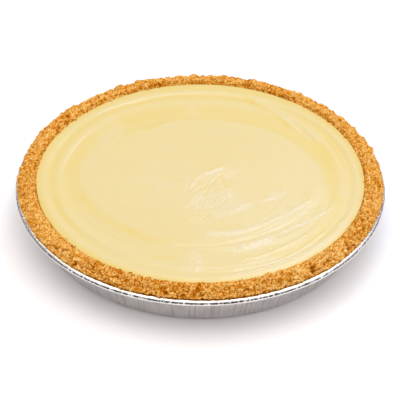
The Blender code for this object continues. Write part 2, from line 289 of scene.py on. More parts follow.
CRUST_TURNS = 1500  # points round each ring
CRUST_SPACING = 0.36 * MM
TIN_TURNS = 1760
WALL_SPACING = 2.4 * MM
BEAD_STEPS = 36  # round the bead's section
INSIDE_POINTS = 4  # of the tin's section, the last ones, which lie inside it
CREAM_TURNS = 640
CREAM_SPACING = 0.5 * MM
CREAM_INNER = 50 * MM  # inside this radius the cream's rings have half as many points
INNER_SPACING = 0.55 * MM
SKIRT = 1.5 * MM  # how far below its surface the cream's edge goes straight down
GRAINS = 7600
STRAYS = 170  # of them, the ones fallen at the cream's edge
GRAIN_SIZES = (0.25, 1.15)  # the smallest and the largest, in mm
USUAL_GRAIN, GRAIN_SPREAD = 0.43, 0.36  # the middle size in mm, and how much the sizes vary
SEED = 11
PLACE_PRIMES = (73856093, 19349663, 83492791)
SEED_PRIME = 961748927

# --- numbers and curves


def smooth(low, high, value):
    """0 below low, 1 above high, and an even S between them. With low above high it falls."""
    share = np.clip((value - low) / (high - low), 0, 1)
    return share * share * (3 - 2 * share)


def hump(value, middle, width):
    """A bell of height 1 about middle."""
    return np.exp(-(((value - middle) / width) ** 2))


def turn_apart(angle, other):
    """The angle between two bearings, in degrees, from 0 to 180."""
    return np.abs((angle - other + 180) % 360 - 180)


def stretch(angle, bearing, spread):
    """A bell of height 1 about a bearing, in degrees."""
    return hump(turn_apart(angle, bearing), 0, spread)


def sector(angle, start, end, soft=18):
    """1 on bearings from start round to end, in degrees, fading to 0 over the angle soft."""
    middle = (start + end) / 2
    reach = (end - start) / 2
    return smooth(reach + soft, reach, turn_apart(angle, middle))


def hashed(cells, seed):
    """A fixed random number from 0 to 1 for each whole-number place."""
    mixed = seed * SEED_PRIME
    for k, prime in enumerate(PLACE_PRIMES):
        mixed ^= cells[..., k] * prime
    mixed = (mixed ^ (mixed >> 13)) * 1274126177
    mixed = mixed ^ (mixed >> 16)
    mixed = (mixed * 1103515245 + 12345) ^ (mixed >> 7)
    return (mixed & 0xFFFFFF) / 0x1000000


def soft_noise(places, size, seed):
    """Smooth noise of about this size, from -1 to 1."""
    scaled = places / size
    base = np.floor(scaled).astype(np.int64)
    share = scaled - base
    share = share * share * (3 - 2 * share)
    total = 0
    for corner in np.ndindex(2, 2, 2):
        weight = np.prod(np.where(corner, share, 1 - share), axis=-1)
        total += weight * hashed(base + corner, seed)
    return 2 * total - 1


def flat_noise(x, y, size, seed):
    """The same noise at places seen from above."""
    return soft_noise(np.stack([x, y, 0 * x], axis=-1), size, seed)


def nearest_grain(places, size, seed):
    """For randomly packed grains of about that size: how far each place is from the nearest one's middle
    and from the next one's, as shares of the size, and the nearest one's own random number."""
    scaled = places / size
    base = np.floor(scaled).astype(np.int64)
    nearest = np.full(places.shape[:-1], np.inf)
    second = nearest.copy()
    number = np.zeros(places.shape[:-1])
    for step in np.ndindex(3, 3, 3):
        cell = base + step - 1
        middle = cell + np.stack([hashed(cell, seed + k) for k in (1, 2, 3)], axis=-1)
        apart = np.linalg.norm(middle - scaled, axis=-1)
        closer = apart < nearest
        second = np.where(closer, nearest, np.minimum(second, apart))
        nearest = np.where(closer, apart, nearest)
        number = np.where(closer, hashed(cell, seed + 4), number)
    return nearest, second, number


def arc(centre, radius, start, end, steps):
    """Points on an arc in a profile's plane, from one bearing to another, in degrees."""
    bearings = np.radians(np.linspace(start, end, steps + 1))
    return [(centre[0] + radius * math.cos(b), centre[1] + radius * math.sin(b)) for b in bearings]


def bend(start, control, end, steps):
    """Points after start on a quadratic curve that leaves and arrives along its control point."""
    points = []
    for i in range(1, steps + 1):
        t = i / steps
        a, b, c = (1 - t) ** 2, 2 * t * (1 - t), t * t
        points.append(tuple(a * start[k] + b * control[k] + c * end[k] for k in (0, 1)))
    return points


def filled_in(points, spacing):
    """The same line with points no further apart than spacing."""
    out = [points[0]]
    for start, end in zip(points, points[1:]):
        steps = max(1, math.ceil(math.dist(start, end) / spacing))
        for i in range(1, steps + 1):
            share = i / steps
            out.append(tuple(a + (b - a) * share for a, b in zip(start, end)))
    return out


def at(radius, angle, height):
    """The points at these radii, bearings in degrees and heights."""
    radius, bearing, height = np.broadcast_arrays(radius, np.radians(angle), height)
    return np.stack([radius * np.cos(bearing), radius * np.sin(bearing), height], axis=-1)


# --- meshes


def placed(name, data):
    """A new object in the scene."""
    made = bpy.data.objects.new(name, data)
    bpy.context.scene.collection.objects.link(made)
    return made


def mesh_piece(name, points, faces, material, smoothed=True):
    """A mesh object from arrays of points and faces."""
    data = bpy.data.meshes.new(name)
    data.from_pydata(points.tolist(), [], faces)
    data.materials.append(material)
    if smoothed:
        data.shade_smooth()
    return placed(name, data)


def ring_piece(name, rings, material):
    """A closed mesh from rings of points: out along the underside, and back over the top to the middle.
    A ring may have half as many points as the one before it."""
    starts = np.cumsum([0] + [len(ring) for ring in rings])
    ends = np.stack([rings[0].mean(axis=0), rings[-1].mean(axis=0)])
    points = np.vstack([*rings, ends])
    low, high = starts[-1], starts[-1] + 1
    faces = []
    for ring, following, start, after in zip(rings, rings[1:], starts, starts[1:]):
        here = start + np.arange(len(ring))
        there = after + np.arange(len(following))
        if len(ring) == len(following):
            sheet = [(here, np.roll(here, -1), np.roll(there, -1), there)]
        else:
            first, middle, last = here[::2], here[1::2], np.roll(here[::2], -1)
            turned = np.roll(there, -1)
            sheet = [(first, middle, there), (middle, turned, there), (middle, last, turned)]
        for corners in sheet:
            faces += np.stack(corners, axis=-1).tolist()
    outer, inner = np.arange(len(rings[0])), starts[-2] + np.arange(len(rings[-1]))
    faces += [(low, b, a) for a, b in zip(outer.tolist(), np.roll(outer, -1).tolist())]
    faces += [(a, b, high) for a, b in zip(inner.tolist(), np.roll(inner, -1).tolist())]
    return mesh_piece(name, points, faces, material)


def paint(piece, name, values):
    """Keeps a number for each point, for the material to read."""
    layer = piece.data.attributes.new(name, "FLOAT", "POINT")
    layer.data.foreach_set("value", np.asarray(values, np.float32).reshape(-1))


def stands_for(piece, node):
    """Shows the piece in place of a node of the CAD."""
    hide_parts(node)
    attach(piece, "root")


# --- materials


class Looks:
    """A Principled material whose nodes are added one by one."""

    def __init__(self, name, roughness=0.2, metallic=0.0, specular=0.5):
        self.material = bpy.data.materials.new(name)
        self.material.use_nodes = True
        self.tree = self.material.node_tree
        self.shader = self.tree.nodes["Principled BSDF"]
        self.set("Roughness", roughness)
        self.set("Metallic", metallic)
        self.set("Specular IOR Level", specular)

    def set(self, socket, value):
        self.shader.inputs[socket].default_value = value

    def join(self, source, target):
        self.tree.links.new(source, target)

    def node(self, kind, **values):
        made = self.tree.nodes.new(kind)
        for name, value in values.items():
            setattr(made, name, value)
        return made

    def number(self, name):
        """The number that paint() kept under this name."""
        return self.node("ShaderNodeAttribute", attribute_name=name).outputs["Fac"]

    def noise(self, size, detail=2, roughness=0.5):
        """Noise whose blotches are about this size, from about 0.3 to 0.7."""
        made = self.node("ShaderNodeTexNoise")
        self.join(self.node("ShaderNodeTexCoord").outputs["Object"], made.inputs["Vector"])
        made.inputs["Scale"].default_value = 1 / size
        made.inputs["Detail"].default_value = detail
        made.inputs["Roughness"].default_value = roughness
        return made.outputs["Fac"]

    def spread(self, value, low, high, to_low, to_high):
        """The value, its range from low to high stretched to another range."""
        made = self.node("ShaderNodeMapRange")
        ends = {"From Min": low, "From Max": high, "To Min": to_low, "To Max": to_high}
        for socket, given in ends.items():
            made.inputs[socket].default_value = given
        self.join(value, made.inputs["Value"])
        return made.outputs["Result"]

    def mottle(self, size, low, high, detail=3, roughness=0.5):
        """Blotches of about this size whose values go from low to high."""
        return self.spread(self.noise(size, detail, roughness), 0.3, 0.7, low, high)

    def sum(self, first, second, how="ADD"):
        """Two values added, or joined in another way."""
        made = self.node("ShaderNodeMath", operation=how)
        self.join(first, made.inputs[0])
        self.join(second, made.inputs[1])
        return made.outputs["Value"]

    def bump(self, value, height):
        """Dents and raises the shading by this height, in metres, where value goes from 0 to 1."""
        made = self.node("ShaderNodeBump")
        made.inputs["Strength"].default_value = 1.0
        made.inputs["Distance"].default_value = height
        self.join(value, made.inputs["Height"])
        self.join(made.outputs["Normal"], self.shader.inputs["Normal"])

    def colour(self, value, *stops):
        """Colours the material by the value, from stops of (value, colour)."""
        made = self.node("ShaderNodeValToRGB")
        line = made.color_ramp
        while len(line.elements) < len(stops):
            line.elements.new(0.5)
        for element, (position, colour) in zip(line.elements, stops):
            element.position = position
            element.color = (*colour, 1)
        self.join(value, made.inputs["Fac"])
        self.join(made.outputs["Color"], self.shader.inputs["Base Color"])


def crumb_material():
    """Baked biscuit crumb: matte, from dark brown, painted as shade between the crumbs, to pale sand on the
    driest ones.
    """
    looks = Looks("crumb", roughness=1.0, specular=0.01)
    looks.colour(
        looks.sum(looks.number("tone"), looks.mottle(0.7 * MM, -0.41, 0.43, roughness=0.6)),
        (0.0, (0.34, 0.085, 0.001)),
        (0.3, (0.61, 0.212, 0.004)),
        (0.6, (0.735, 0.375, 0.077)),
        (1.0, (0.87, 0.577, 0.210)),
    )
    looks.bump(looks.noise(0.45 * MM, detail=3, roughness=0.6), 0.12 * MM)
    return looks.material


def cream_material():
    """Set pudding cream: softly glossy, yellow where the spatula bared it and paler on the plateau."""
    looks = Looks("cream")
    pale = looks.sum(looks.number("pale"), looks.mottle(14 * MM, -0.06, 0.06))
    # Pale above 1 is painted sheen and highlights; the last stop is their colour.
    looks.colour(
        looks.spread(pale, 0.0, 1.25, 0.0, 1.0),
        (0.0, (0.705, 0.542, 0.182)),
        (0.4, (0.705, 0.565, 0.245)),
        (0.8, (0.695, 0.570, 0.285)),
        (1.0, (0.700, 0.588, 0.350)),
    )
    looks.set("Subsurface Weight", 0.15)
    looks.set("Subsurface Radius", (1.0, 0.6, 0.25))
    looks.set("Subsurface Scale", 2.5 * MM)
    looks.bump(looks.sum(looks.noise(1.2 * MM), looks.number("grit"), "MULTIPLY"), 0.22 * MM)
    return looks.material


def foil_material():
    """Thin pressed aluminium: bright, a little brushed, with tiny dents, darkened by painted shade in its
    creases, along the bead's seam and under it, and over the wall's outside.
    """
    looks = Looks("foil", metallic=1.0)
    looks.colour(
        looks.sum(looks.number("painted_shade"), looks.mottle(6 * MM, 0.0, 0.12)),
        (0.0, (0.86, 0.845, 0.835)),
        (0.3, (0.74, 0.72, 0.71)),
        (0.6, (0.42, 0.40, 0.39)),
        (1.0, (0.10, 0.09, 0.09)),
    )
    looks.join(looks.mottle(2.5 * MM, 0.09, 0.18, detail=2), looks.shader.inputs["Roughness"])
    looks.bump(looks.noise(1.1 * MM), 0.02 * MM)
    return looks.material


# --- tin


def wall_radius(height):
    """The outside of the tin's leaning wall."""
    return BASE_RADIUS + (WALL_TOP_RADIUS - BASE_RADIUS) * height / FLANGE_HEIGHT


def foil_across():
    """The foil's thickness measured level through the leaning wall."""
    lean = math.atan2(WALL_TOP_RADIUS - BASE_RADIUS, FLANGE_HEIGHT)
    return FOIL / math.cos(lean)


def tin_profile():
    """The foil's section: out along the underside, round the bead, and back along the inside."""
    foot = (BASE_RADIUS - BASE_CORNER, 0)
    foot_top = (wall_radius(BASE_CORNER), BASE_CORNER)
    under_flange = (WALL_TOP_RADIUS, FLANGE_HEIGHT - FOIL)
    bead = (RIM_RADIUS - BEAD_RADIUS, BEAD_HEIGHT)
    round_bead = arc(bead, BEAD_RADIUS, BEAD_START, BEAD_END, BEAD_STEPS)
    flange_end = (RIM_RADIUS - 2 * BEAD_RADIUS - GAP, FLANGE_HEIGHT)
    wall_top = (WALL_TOP_RADIUS - foil_across(), FLANGE_HEIGHT)
    inner_foot_top = (foot_top[0] - foil_across(), foot_top[1] + FOIL / 2)
    inner_foot = (foot[0] - FOIL / 2, FOIL)
    outer_wall = filled_in([foot_top, under_flange], WALL_SPACING)
    return (
        [foot]
        + bend(foot, (BASE_RADIUS, 0), foot_top, 5)[:-1]
        + outer_wall
        + round_bead
        + [flange_end, wall_top, inner_foot_top, inner_foot]
    )


def pleats(angle):
    """How far the wall stands out on each bearing, from -1 to 1, with a crest and a hollow to each pleat."""
    steps = []
    for k in range(TIN_STEPS):
        place = at(PLEAT_LOOP, k * 360 / TIN_STEPS, 0)
        depth = PLEAT_MEAN + PLEAT_SPREAD * noise.noise(Vector(place))
        steps.append((1 if k % 2 else -1) * min(1.0, max(PLEAT_LEAST, depth)))
    return np.interp(angle / 360 * TIN_STEPS, range(TIN_STEPS + 1), steps + steps[:1])


def creases(angle, height):
    """The sharp creases of the wall's folds, from 0 on its panels to 1 in the sharpest."""
    draw = np.random.default_rng(SEED)
    where = (np.arange(TIN_STEPS) + draw.uniform(-0.3, 0.3, TIN_STEPS)) * 360 / TIN_STEPS
    strength = draw.uniform(0.1, 1, TIN_STEPS) ** 1.4
    lean = draw.uniform(-0.06, 0.06, TIN_STEPS)
    width = draw.uniform(0.22, 0.4, TIN_STEPS) * MM
    total = 0 * angle + 0 * height
    for middle, strong, tilt, wide in zip(where, strength, lean, width):
        apart = np.radians((angle - middle + 180) % 360 - 180) * WALL_TOP_RADIUS
        total += strong * hump(apart + tilt * height, 0, wide)
    return np.minimum(total, 1)


def along_rim(angle):
    """The rim's bearings as places on a straight line, to read noise at."""
    along = np.radians(angle) * RIM_RADIUS
    return np.stack([along, 0 * along, 0 * along], axis=-1)


def crimps(angle):
    """The little crimps all along the rolled bead, from about -1 to 1."""
    places = along_rim(angle)
    jitter = soft_noise(places, 4 * MM, SEED + 20)
    wave = np.sin(math.tau * places[:, 0] / CRIMP_LENGTH + 2.5 * jitter)
    strength = 0.55 + 0.45 * soft_noise(places, 6 * MM, SEED + 21)
    return wave * strength + 0.4 * soft_noise(places, 0.9 * MM, SEED + 22)


def broken_seam(facing, angle):
    """The seam of the bead: a broken line, higher and deeper at the far left and right."""
    dashed = 0.75 + 0.75 * soft_noise(along_rim(angle), SEAM_DASH, SEED + 24)
    at_sides = np.abs(np.cos(np.radians(angle))) ** 4
    line = hump(facing, SEAM + SEAM_LIFT * at_sides, SEAM_WIDTH)
    return line * dashed * (1 + 0.8 * at_sides)


def make_tin():
    profile = np.array(tin_profile())
    angle = np.arange(TIN_TURNS) * 360 / TIN_TURNS
    radius = profile[:, :1] + 0 * angle
    height = profile[:, 1:] + 0 * angle
    # the wall's pleats, and the creases on its outside
    on_wall = (profile[:, :1] > BASE_RADIUS) & (profile[:, :1] < WALL_TOP_RADIUS + FOIL)
    outside = np.arange(len(profile))[:, None] < len(profile) - INSIDE_POINTS
    pleated = smooth(BASE_CORNER, FLANGE_HEIGHT, height) * on_wall
    radius += PLEAT_DEPTH / 2 * pleated * pleats(angle)
    creased = creases(angle, height) * (on_wall & outside) * smooth(0, 3 * MM, height)
    radius -= CREASE_DEPTH * creased
    # the bead's crimps, dents and seam
    out = profile - np.array((RIM_RADIUS - BEAD_RADIUS, BEAD_HEIGHT))
    on_bead = np.linalg.norm(out, axis=1, keepdims=True) < BEAD_RADIUS * 1.01
    way = out / BEAD_RADIUS
    facing = np.degrees(np.arctan2(out[:, 1:], out[:, :1]))
    dents = soft_noise(at(radius, angle, height), DENT_SIZE, SEED + 23)
    dented = CRIMP_DEPTH * (crimps(angle) - 1) + DENT_DEPTH * (dents - 1)
    seam = broken_seam(facing, angle)
    edge = EDGE_RISE * hump(facing, SEAM + EDGE_LIFT, EDGE_WIDTH)
    wobble = on_bead * (hump(facing, *CRIMPED) * dented - SEAM_DEPTH * seam + edge)
    radius += wobble * way[:, :1]
    height += wobble * way[:, 1:]
    piece = ring_piece("tin_foil", list(at(radius, angle, height)), foil_material())
    # Painted shade: the foil's colour is darkened over the wall's outside, in its creases, on the bead's
    # seam and under it.
    below_seam = smooth(SEAM + 8, SEAM - 8, facing)
    painted_shade = WALL_SHADE * (on_wall & outside) + CREASE_SHADE * creased
    painted_shade += on_bead * (UNDER_SEAM_SHADE * below_seam + SEAM_SHADE * seam)
    paint(piece, "painted_shade", np.append(painted_shade.reshape(-1), [0, 0]))
    stands_for(piece, "tin")


# --- crust


def crust_bank():
    """What shows of the crust's section, from over the bead round the crest to the cream's edge."""
    over_bead = (RIM_RADIUS - UNDERCUT, BEAD_HEIGHT + BEAD_RADIUS + GAP)
    shoulder = (SHOULDER_RADIUS, SHOULDER_HEIGHT)
    crest = (CREST_RADIUS, CREST_HEIGHT)
    rim = (FILL_RADIUS, FILL_HEIGHT)
    below_rim = (FILL_RADIUS - KNEE_INSET / 5, FILL_HEIGHT - KNEE_DEPTH / 5)
    return filled_in(
        [over_bead, shoulder]
        + bend(shoulder, (BROW_RADIUS, BROW_HEIGHT), crest, 12)
        + bend(crest, (FILL_RADIUS + KNEE_INSET, CREST_HEIGHT), rim, 8)
        + [below_rim],
        CRUST_SPACING,
    )


def crags(places):
    """The broad lumps of the crust, with crags on them, in metres."""
    depths = [
        noise.noise(Vector(p) / LUMP_SIZE) * LUMP_DEPTH
        + noise.noise(Vector(p) / CRAG_SIZE + CRAG_SHIFT) * CRAG_DEPTH
        for p in places.reshape(-1, 3).tolist()
    ]
    return np.array(depths).reshape(places.shape[:-1])


def grain_relief(places, coarse):
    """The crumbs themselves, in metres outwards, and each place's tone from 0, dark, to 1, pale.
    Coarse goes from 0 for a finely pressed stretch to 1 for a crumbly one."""
    wander = np.stack([soft_noise(places, 2.2 * MM, SEED + k) for k in (51, 52, 53)], axis=-1)
    bent = places + 0.45 * MM * wander
    clump, next_clump, clump_number = nearest_grain(bent, CLUMP_SIZE, SEED)
    crumb, next_crumb, crumb_number = nearest_grain(bent, CRUMB_SIZE, SEED + 5)
    hole, _, hole_number = nearest_grain(places, PIT_SIZE, SEED + 10)
    broken = 0.55 + 0.45 * soft_noise(places, 2.6 * MM, SEED + 54)
    clump_gap = smooth(0.24, 0.0, next_clump - clump) * broken
    crumb_gap = smooth(0.30, 0.0, next_crumb - crumb) * (1 - 0.5 * broken)
    pit = (hole_number < 0.10 + 0.14 * coarse) * smooth(0.50, 0.1, hole)
    depth = CLUMP_DEPTH * (1 - 1.5 * clump**2) * (0.25 + 0.95 * coarse)
    depth += CRUMB_DEPTH * (1 - 1.8 * crumb**2) * (0.8 + 0.3 * coarse)
    depth -= (CLUMP_GAP_DEPTH * clump_gap + CRUMB_GAP_DEPTH * crumb_gap) * (0.4 + 0.9 * coarse)
    depth -= PIT_DEPTH * pit * (0.7 + 0.6 * coarse)
    shade = 0.68 + 0.06 * coarse + 0.70 * (crumb_number - 0.5)
    shade += (0.08 + 0.14 * coarse) * (clump_number - 0.5)
    # Painted shade: the tone is darkened in the gaps between clumps and crumbs, and in the pits.
    shade = shade - (0.22 + 0.34 * coarse) * clump_gap - (0.40 + 0.26 * coarse) * crumb_gap
    return depth, shade - 0.6 * pit


def coarseness(angle, radius, height):
    """How crumbly the crust is, from 0 to 1: most round the front."""
    places = at(radius, angle, height)
    front = smooth(85, 35, turn_apart(angle, CRUMBLY_BEARING))
    return np.clip(0.15 + 0.75 * front + 0.35 * soft_noise(places, 9 * MM, SEED + 40), 0, 1)


def bank_points(radius, angle, height):
    """The bank's plain section roughened by its crags, crumbs and marks: radius, height, the way that it
    faces and tone."""
    places = at(radius, angle, height)
    bared = smooth(BEAD_HEIGHT + BEAD_RADIUS, BROW_HEIGHT, height)
    off_cream = smooth(FILL_RADIUS, FILL_RADIUS + KNEE_INSET, radius)
    share = bared * off_cream
    coarse = coarseness(angle, radius, height)
    grain, tone = grain_relief(places, coarse)
    for bearing, mark_radius, mark_height, reach, deep in MARKS:
        middle = at(mark_radius * MM, bearing, mark_height * MM)
        near = hump(np.linalg.norm(places - middle, axis=-1), 0, reach * MM)
        grain -= deep * MM * near
        # Painted shade: the tone is darkened in each dent and crack, the more the deeper it is.
        tone -= 0.35 * max(deep, 0) * near
    depth = share * crags(places) + grain * (0.35 + 0.65 * bared) * (0.45 + 0.55 * off_cream)
    lean = np.arctan2(height - BEAD_HEIGHT, radius - CREST_RADIUS)
    rise = BACK_RISE * share * np.sin(np.radians(angle))
    spill = smooth(CREST_RADIUS, FILL_RADIUS, radius) * stretch(angle, SPILL_BEARING, 32)
    radius = radius - SPILL_REACH * spill
    height = height + SPILL_RISE * spill
    out_radius = np.minimum(radius + depth * np.cos(lean), RIM_RADIUS - GAP)
    out_height = height + depth * np.sin(lean) + rise
    out_height = np.minimum(out_height, cad_box[1][2] - 0.05 * MM)
    # Painted shade: the tone is darker along the crust's inner edge, where it meets the cream.
    inner_edge_shade = hump(radius, FILL_RADIUS + 0.4 * MM, 0.9 * MM)
    return out_radius, out_height, lean, tone - 0.12 * inner_edge_shade


def toasting_and_shade(angle, radius, height):
    """How much paler or browner than the rest each place of the crust is: in blotches and in the paler
    stretches, and darker under its shoulder, where shade is painted."""
    places = at(radius, angle, height)
    blotches = 0.6 * soft_noise(places, 17 * MM, SEED + 30) + 0.4 * soft_noise(places, 7 * MM, SEED + 31)
    # Painted shade under the shoulder, where the crust overhangs the bead.
    shade_under_shoulder = smooth(SHOULDER_HEIGHT + 0.5 * MM, SHOULDER_HEIGHT - 0.7 * MM, height)
    total = 0.1 * blotches - 0.2 * shade_under_shoulder
    for bearing, spread, paler in PALER_STRETCHES:
        total += paler * stretch(angle, bearing, spread)
    return total


def make_crust(material):
    bank = np.array(crust_bank())
    angle = np.arange(CRUST_TURNS) * 360 / CRUST_TURNS
    radius = bank[:, :1] + 0 * angle
    height = bank[:, 1:] + 0 * angle
    out_radius, out_height, _, tone = bank_points(radius, angle, height)
    tone += toasting_and_shade(angle, radius, height)
    shown = at(out_radius, angle, out_height)
    # what the tin and the cream hide, before it and after it
    under = FOIL + GAP
    clear = foil_across() + GAP + PLEAT_DEPTH / 2
    before = [
        (BASE_RADIUS - 2 * BASE_CORNER, under),
        (wall_radius(2 * BASE_CORNER) - clear, 2 * BASE_CORNER),
        (WALL_TOP_RADIUS - clear - GAP, FLANGE_HEIGHT),
        (WALL_TOP_RADIUS - GAP, FLANGE_HEIGHT + 2 * GAP),
    ]
    after = [
        (FILL_RADIUS - KNEE_INSET, FILL_HEIGHT - KNEE_DEPTH),
        (FILL_RADIUS - FLOOR_INSET, under + CRUST_FLOOR),
    ]
    rings = [at(r, angle, z) for r, z in before] + list(shown) + [at(r, angle, z) for r, z in after]
    piece = ring_piece("crust_crumb", rings, material)
    plain = [np.full(len(line) * CRUST_TURNS, HIDDEN_TONE) for line in (before, after)]
    paint(piece, "tone", np.concatenate([plain[0], tone.reshape(-1), plain[1], 2 * [HIDDEN_TONE]]))
    stands_for(piece, "crust")


def icosahedron():
    """The corners of a regular icosahedron of radius 1, and its faces."""
    golden = (1 + math.sqrt(5)) / 2
    corners = []
    for a in (-1, 1):
        for b in (-golden, golden):
            corners += [(0, a, b), (a, b, 0), (b, 0, a)]
    corners = np.array(corners) / math.hypot(1, golden)
    near = np.linalg.norm(corners[:, None] - corners[None], axis=-1) < 1.2
    faces = []
    for i, j, k in itertools.combinations(range(len(corners)), 3):
        if near[i, j] and near[j, k] and near[i, k]:
            outwards = np.linalg.det(corners[[i, j, k]]) > 0
            faces.append((i, j, k) if outwards else (i, k, j))
    return corners, np.array(faces)


def turned_at_random(draw, count):
    """That many random rotation matrices."""
    turns = draw.normal(size=(count, 4)).tolist()
    return np.array([Quaternion(turn).normalized().to_matrix() for turn in turns])


def make_grains(material):
    """Crumbs that stand out of the crust, each an uneven lump of its own size, shape and shade."""
    draw = np.random.default_rng(SEED)
    bank = np.array(crust_bank())
    steps = np.linalg.norm(np.diff(bank, axis=0), axis=1)
    along = np.concatenate([[0], np.cumsum(steps)])
    where = draw.uniform(1.0 * MM, along[-1] - 2.2 * MM, GRAINS)
    where[:STRAYS] = along[-1] - KNEE_DEPTH / 5
    angle = draw.uniform(0, 360, GRAINS)
    radius = np.interp(where, along, bank[:, 0])
    height = np.interp(where, along, bank[:, 1])
    out_radius, out_height, lean, tone = bank_points(radius, angle, height)
    size = np.clip(draw.lognormal(math.log(USUAL_GRAIN), GRAIN_SPREAD, GRAINS), *GRAIN_SIZES) * MM
    sunk = draw.uniform(-0.1, 0.55, GRAINS) * size
    out_radius = out_radius - sunk * np.cos(lean)
    out_height = out_height - sunk * np.sin(lean)
    out_radius[:STRAYS] -= draw.uniform(-0.4, 1.1, STRAYS) * MM
    out_radius = np.minimum(out_radius, RIM_RADIUS - GAP - 1.2 * size)
    out_height = np.minimum(out_height, cad_box[1][2] - 1.35 * size)
    middle = at(out_radius, angle, out_height)
    corners, faces = icosahedron()
    shapes = corners[None] * draw.uniform(0.72, 1.2, (GRAINS, len(corners), 1))
    shapes = shapes * draw.uniform(0.7, 1.15, (GRAINS, 1, 3))
    shapes = np.einsum("nij,nkj->nki", turned_at_random(draw, GRAINS), shapes)
    points = middle[:, None] + shapes * size[:, None, None]
    every = (faces[None] + len(corners) * np.arange(GRAINS)[:, None, None]).reshape(-1, 3)
    piece = mesh_piece("crust_grains", points.reshape(-1, 3), every.tolist(), material, smoothed=False)
    shade = 0.26 + 0.65 * tone + 0.15 * draw.standard_normal(GRAINS) + toasting_and_shade(angle, radius, height)
    paint(piece, "tone", np.repeat(shade, len(corners)))
    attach(piece, "root")


# --- cream


def plateau_edge(angle):
    """Where the flat middle of the cream ends on a bearing, as a share of the cream's radius."""
    edge = PLATEAU_SHARE + 0 * angle
    for bearing, spread, share in PLATEAU_BULGES:
        edge += share * stretch(angle, bearing, spread)
    return edge


def off_segment(x, y, start, end):
    """How far each place is from a straight line, and how far along it its nearest point is."""
    reach = np.subtract(end, start)
    length = math.hypot(*reach)
    share = np.clip(((x - start[0]) * reach[0] + (y - start[1]) * reach[1]) / length**2, 0, 1)
    apart = np.hypot(x - start[0] - share * reach[0], y - start[1] - share * reach[1])
    return apart, share * length


def ring_shares(angle):
    """Where the lip, the groove and the wave run on a bearing. At the back they run closer in."""
    back = stretch(angle, BACK_BEARING, 50)
    return LIP_SHARE - LIP_INSET * back, GROOVE_SHARE - GROOVE_INSET * back, WAVE_SHARE - WAVE_INSET * back


def rings_of_swirl(share, angle):
    """The rings of the swirl, deepest round the back half."""
    depth = FRONT_SHARE + (1 - FRONT_SHARE) * sector(angle, 0, 180, soft=60)
    edge = plateau_edge(angle)
    lip_share, groove_share, wave_share = ring_shares(angle)
    low_lip, worn = stretch(angle, *LOW_LIP), stretch(angle, *WORN)
    lip = LIP_RISE * (1 - 0.7 * low_lip) * hump(share, lip_share, LIP_WIDTH)
    groove = GROOVE_DEPTH * depth * (1 - 0.7 * worn) * hump(share, groove_share, GROOVE_WIDTH)
    wave = WAVE_RISE * (1 - 0.8 * worn) * hump(share, wave_share, WAVE_WIDTH)
    trough = TROUGH_DEPTH * depth * (1 - 0.8 * worn) * hump(share, edge + TROUGH_OFFSET, TROUGH_WIDTH)
    slope = PLATEAU_SLOPE * (1 - 0.5 * worn)
    plateau = PLATEAU_RISE * smooth(edge + slope, edge - slope, share)
    return lip - groove + wave - trough + plateau


def coil(share, angle, start, end, inner, outer):
    """A raised stroke from a bearing and share round to others."""
    turned_on = (angle - start + 180) % 360 - 180
    middle = inner + (outer - inner) * turned_on / (end - start)
    rise = COIL_RISE * (1 - 0.85 * stretch(angle, *COILS_FADE))
    return rise * hump(share, middle, COIL_WIDTH) * sector(angle, start, end)


def cream_height(share, angle):
    """The top of the cream over its level at the crust, at a share of its radius and a bearing."""
    x = share * FILL_RADIUS * np.cos(np.radians(angle)) / MM
    y = share * FILL_RADIUS * np.sin(np.radians(angle)) / MM
    peak = PEAK_RISE * hump(off_segment(x, y, *PEAK_LINE)[0], 0, PEAK_WIDTH)
    dip = DIP_DEPTH * hump(off_segment(x, y, *DIP_LINE)[0], 0, DIP_WIDTH)
    coils = sum(coil(share, angle, *stroke) for stroke in COILS)
    level_at_crust = smooth(1.0, LIP_SHARE + LIP_WIDTH, share)
    return level_at_crust * (rings_of_swirl(share, angle) + coils + peak - dip)


def curved(line, spacing=2.5):
    """A smooth line through the points given, as points about that far apart."""
    knots = np.array(line, float)
    padded = np.vstack([2 * knots[0] - knots[1], knots, 2 * knots[-1] - knots[-2]])
    out = [knots[0]]
    for a, b, c, d in zip(padded, padded[1:], padded[2:], padded[3:]):
        steps = max(1, round(math.dist(b, c) / spacing))
        for i in range(1, steps + 1):
            t = i / steps
            square, cube = 2 * a - 5 * b + 4 * c - d, 3 * b - a - 3 * c + d
            out.append(0.5 * (2 * b + (c - a) * t + square * t * t + cube * t**3))
    return np.array(out)


def along_line(x, y, line):
    """How far each place is from the line and how far along it its nearest point is, and its length."""
    points = curved(line)
    nearest = np.full(x.shape, np.inf)
    along = np.zeros(x.shape)
    done = 0.0
    for start, end in zip(points, points[1:]):
        apart, on = off_segment(x, y, start, end)
        closer = apart < nearest
        nearest = np.where(closer, apart, nearest)
        along = np.where(closer, done + on, along)
        done += math.dist(start, end)
    return nearest, along, done


def brushed(x, y, line, width):
    """1 on the line, falling to 0 over the width on both sides and towards its two ends."""
    apart, along, length = along_line(x, y, line)
    fade = min(6.0, 0.35 * length)
    ends = smooth(-0.2 * fade, fade, along) * smooth(length + 0.2 * fade, length - fade, along)
    return hump(apart, 0, width) * ends


